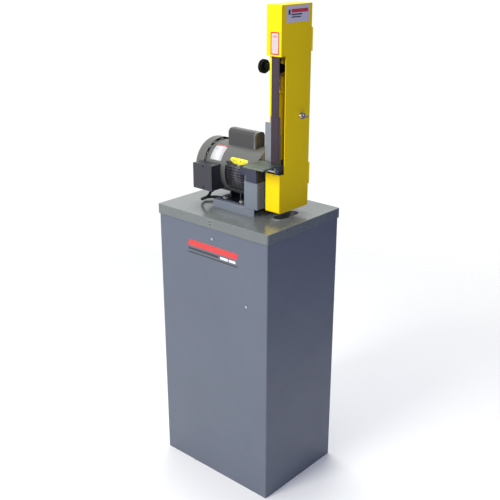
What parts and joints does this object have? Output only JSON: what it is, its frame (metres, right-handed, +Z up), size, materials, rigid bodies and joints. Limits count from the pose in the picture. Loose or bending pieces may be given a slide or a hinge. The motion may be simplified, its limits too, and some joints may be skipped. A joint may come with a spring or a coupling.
{
  "type": "upright belt sander on a dust cabinet",
  "caption": "Upright narrow-belt sander whose yellow belt guard swings about its motor axis, with a small tilting work table, on a tall sheet-steel dust-collector cabinet with a rear door.",
  "frame": {"origin": "on the floor, under the centre of the cabinet lid's outline", "axes": "+Z up; +X to the right of a person who stands at the work table; +Y towards the back, where the access door is"},
  "size_m": [0.4134, 0.3118, 1.3686],
  "materials": {
    "cabinet_paint": "semi-gloss grey enamel",
    "lid_paint": "gloss pale grey enamel",
    "guard_paint": "semi-gloss yellow enamel",
    "motor_paint": "semi-gloss dark grey enamel",
    "box_paint": "gloss near-black enamel",
    "table_steel": "ground and oiled steel plate",
    "base_paint": "semi-gloss light grey enamel",
    "dark_steel": "dark oiled steel",
    "bare_steel": "ground steel",
    "platen_steel": "ground steel plate",
    "screw_zinc": "zinc-plated steel",
    "latch_zinc": "bright die-cast zinc",
    "bare_aluminium": "machined aluminium",
    "laminations": "varnished steel laminations",
    "black_plastic": "satin black plastic",
    "black_rubber": "matt black rubber",
    "wheel_rubber": "ground rubber tyre on an aluminium wheel",
    "abrasive": "aluminium-oxide grit on cloth",
    "filter_cloth": "felted filter cloth"
  },
  "bodies": {
    "cabinet": {"cabinet_shell": "cabinet_paint", "back_panel": "cabinet_paint", "cabinet_floor": "cabinet_paint", "cabinet_lid": "lid_paint", "cabinet_screws": "screw_zinc", "access_hinges": "screw_zinc", "grommets": "black_rubber", "rocker_bezel": "black_plastic", "filter_shelf": "cabinet_paint", "dust_inlet": "screw_zinc", "filter_bag": "filter_cloth", "blower_housing": "motor_paint", "blower_motor": "motor_paint", "motor_base": "base_paint", "base_bolts": "screw_zinc", "table_post": "base_paint", "table_bracket": "dark_steel", "post_screws": "screw_zinc", "table_rod": "bare_steel", "motor_foot": "dark_steel", "foot_bolts": "screw_zinc", "motor_shell": "motor_paint", "rear_bell": "motor_paint", "drive_bell": "motor_paint", "through_bolts": "screw_zinc", "motor_bearings": "bare_steel", "stator": "laminations", "fan_cover": "motor_paint", "capacitor_cover": "box_paint", "capacitor": "bare_aluminium", "conduit_box": "box_paint", "conduit_cover": "box_paint", "lead_fittings": "black_rubber", "motor_lead": "black_rubber"},
    "access_door": {"access_door": "cabinet_paint"},
    "door_lock": {"door_cam_lock": "screw_zinc"},
    "switch": {"switch_rocker": "black_plastic"},
    "blower": {"blower_wheel": "screw_zinc"},
    "head": {"swivel_flange": "bare_aluminium", "guard_housing": "guard_paint", "guard_hinges": "screw_zinc", "latch_keeper": "screw_zinc", "head_screws": "screw_zinc", "platen": "platen_steel", "platen_bracket": "screw_zinc", "sanding_belt": "abrasive", "tension_spring": "bare_steel"},
    "guard_door": {"guard_door": "guard_paint"},
    "latch": {"wing_latch": "latch_zinc"},
    "carriage": {"idler_carriage": "screw_zinc", "idler_axle": "bare_steel", "clamp_nut": "black_plastic"},
    "idler": {"idler_wheel": "bare_aluminium", "idler_bearings": "bare_steel"},
    "knob": {"tension_knob": "black_plastic"},
    "drive": {"motor_shaft": "bare_steel", "rotor": "laminations", "motor_fan": "black_plastic", "drive_wheel": "wheel_rubber"},
    "table": {"work_table": "table_steel"}
  },
  "joints": [
    {"name": "access_door_hinge", "type": "hinge", "parent": "cabinet", "child": "access_door", "pos_m": [0.1605, 0.1535, 0.4], "axis": [0, 0, -1], "range_deg": [0, 110]},
    {"name": "door_lock_turn", "type": "hinge", "parent": "access_door", "child": "door_lock", "pos_m": [-0.138, 0.152, 0.4], "axis": [0, 1, 0], "range_deg": [0, 90]},
    {"name": "switch_rock", "type": "hinge", "parent": "cabinet", "child": "switch", "pos_m": [0, 0.1464, 0.745], "axis": [1, 0, 0], "range_deg": [0, 20]},
    {"name": "blower_spin", "type": "hinge", "parent": "cabinet", "child": "blower", "pos_m": [0, 0, 0.3], "axis": [0, 0, 1], "continuous": true},
    {"name": "head_swing", "type": "hinge", "parent": "cabinet", "child": "head", "pos_m": [0.111, 0.005, 0.9173], "axis": [-1, 0, 0], "range_deg": [0, 60]},
    {"name": "guard_door_hinge", "type": "hinge", "parent": "head", "child": "guard_door", "pos_m": [0.158, 0.0701, 1.1], "axis": [0, 0, 1], "range_deg": [0, 90]},
    {"name": "wing_latch_turn", "type": "hinge", "parent": "guard_door", "child": "latch", "pos_m": [0.159, 0.031, 1.086], "axis": [1, 0, 0], "range_deg": [0, 90]},
    {"name": "idler_slide", "type": "slide", "parent": "head", "child": "carriage", "axis": [0, 0, -1], "range_m": [0, 0.012], "stiffness_N_per_m": 2000, "springref_m": -0.03, "deforming": ["tension_spring"]},
    {"name": "idler_spin", "type": "hinge", "parent": "carriage", "child": "idler", "pos_m": [0.135, -0.01405, 1.3196], "axis": [1, 0, 0], "continuous": true},
    {"name": "knob_turn", "type": "hinge", "parent": "carriage", "child": "knob", "pos_m": [0.1, -0.0307, 1.213], "axis": [1, 0, 0], "range_deg": [0, 270]},
    {"name": "motor_spin", "type": "hinge", "parent": "cabinet", "child": "drive", "pos_m": [0, 0.005, 0.9173], "axis": [1, 0, 0], "continuous": true},
    {"name": "table_tilt", "type": "hinge", "parent": "cabinet", "child": "table", "pos_m": [0.125, -0.068, 0.954], "axis": [1, 0, 0], "range_deg": [0, 45]}
  ],
  "couplings": [
    {"joint": "idler_spin", "follows": "motor_spin", "ratio": 1.6}
  ]
}
